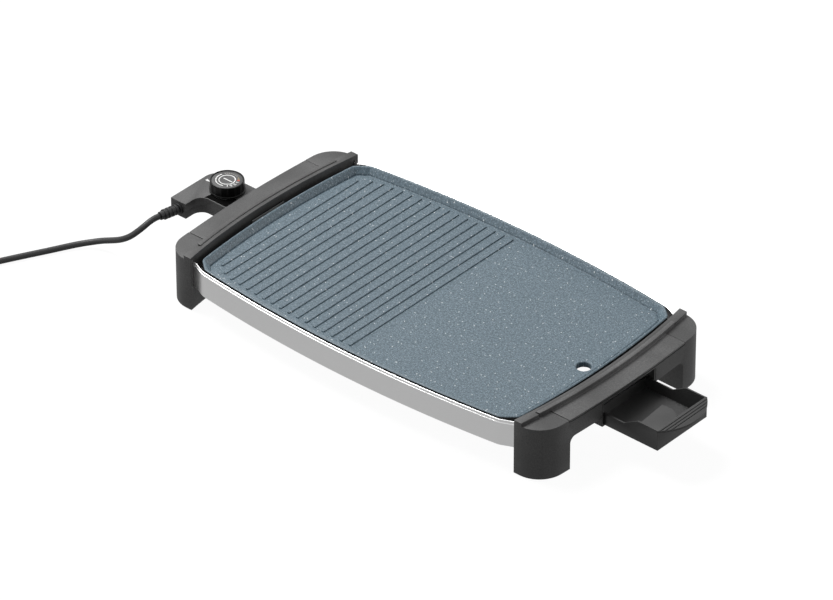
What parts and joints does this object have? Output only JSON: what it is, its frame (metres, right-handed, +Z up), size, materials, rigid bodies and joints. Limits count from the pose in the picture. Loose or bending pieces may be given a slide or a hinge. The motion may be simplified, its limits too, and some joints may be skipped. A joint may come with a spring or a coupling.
{
  "type": "electric griddle",
  "caption": "Table-top electric griddle, half ribbed and half flat, between two end handles, with a sliding drip tray, plug-in temperature control with dial, cord and plug.",
  "frame": {"origin": "on the table, under the middle of the box that holds the griddle, its drawn-out tray and its control, without the cord", "axes": "+X towards the drip tray, +Y away from the side with the cord, +Z up, millimetres in the source and metres here"},
  "size_m": [0.9497, 0.5381, 0.075],
  "materials": {
    "coated_plate": "cast aluminium with a grey non-stick coating, fine pale speckle",
    "handle_plastic": "dark grey heat-resistant plastic, fine grained",
    "cover_plastic": "grey heat-resistant plastic, fine grained",
    "band_steel": "satin metal strip with two bright beads",
    "element_steel": "heat-tinted element sheath",
    "nickelled_brass": "nickel-plated brass",
    "insulator_ceramic": "white ceramic",
    "sheet_steel": "plain sheet steel",
    "screw_steel": "zinc-plated steel",
    "foot_rubber": "black rubber",
    "tray_plastic": "dark grey plastic, fine grained",
    "control_plastic": "grey plastic, fine grained",
    "probe_steel": "stainless steel",
    "contact_brass": "plain brass",
    "switch_plastic": "brown moulded plastic",
    "cord_rubber": "black flexible cord sheath",
    "tie_plastic": "white plastic tie",
    "plug_plastic": "black moulded plastic",
    "dial_plastic": "black plastic, fluted side",
    "dial_print": "grey printed face"
  },
  "bodies": {
    "griddle": {"griddle_plate": "coated_plate", "handle_drawer_end": "handle_plastic", "handle_socket_end": "handle_plastic", "handle_cover_drawer_end": "cover_plastic", "handle_cover_socket_end": "cover_plastic", "side_band_front": "band_steel", "side_band_rear": "band_steel", "heating_element": "element_steel", "terminal_pins": "nickelled_brass", "terminal_insulators": "insulator_ceramic", "terminal_bracket": "sheet_steel", "probe_sleeve": "sheet_steel", "heat_shield": "sheet_steel", "drawer_guide": "handle_plastic", "plate_screws": "screw_steel", "shield_screws": "screw_steel", "cover_screws": "screw_steel", "guide_screws": "screw_steel", "foot_pads": "foot_rubber"},
    "tray": {"drip_tray": "tray_plastic"},
    "control": {"control_lower_shell": "control_plastic", "control_upper_shell": "control_plastic", "heat_probe": "probe_steel", "contact_sleeves": "contact_brass", "thermostat_switch": "switch_plastic", "control_screws": "screw_steel", "strain_relief": "cord_rubber", "supply_cord": "cord_rubber", "supply_cord_coil": "cord_rubber", "plug_lead": "cord_rubber", "cord_tie": "tie_plastic", "plug_body": "plug_plastic", "plug_pins": "nickelled_brass"},
    "dial": {"temperature_dial": "dial_plastic", "dial_face": "dial_print", "dial_shaft": "probe_steel"}
  },
  "joints": [
    {"name": "tray_slide", "type": "slide", "parent": "griddle", "child": "tray", "axis": [1, 0, 0], "range_m": [-0.074, 0.012]},
    {"name": "control_plug_in", "type": "slide", "parent": "griddle", "child": "control", "axis": [-1, 0, 0], "range_m": [0, 0.055]},
    {"name": "dial_turn", "type": "hinge", "parent": "control", "child": "dial", "pos_m": [-0.3219, 0, 0.068], "axis": [0, 0, 1], "range_deg": [0, 270]}
  ]
}
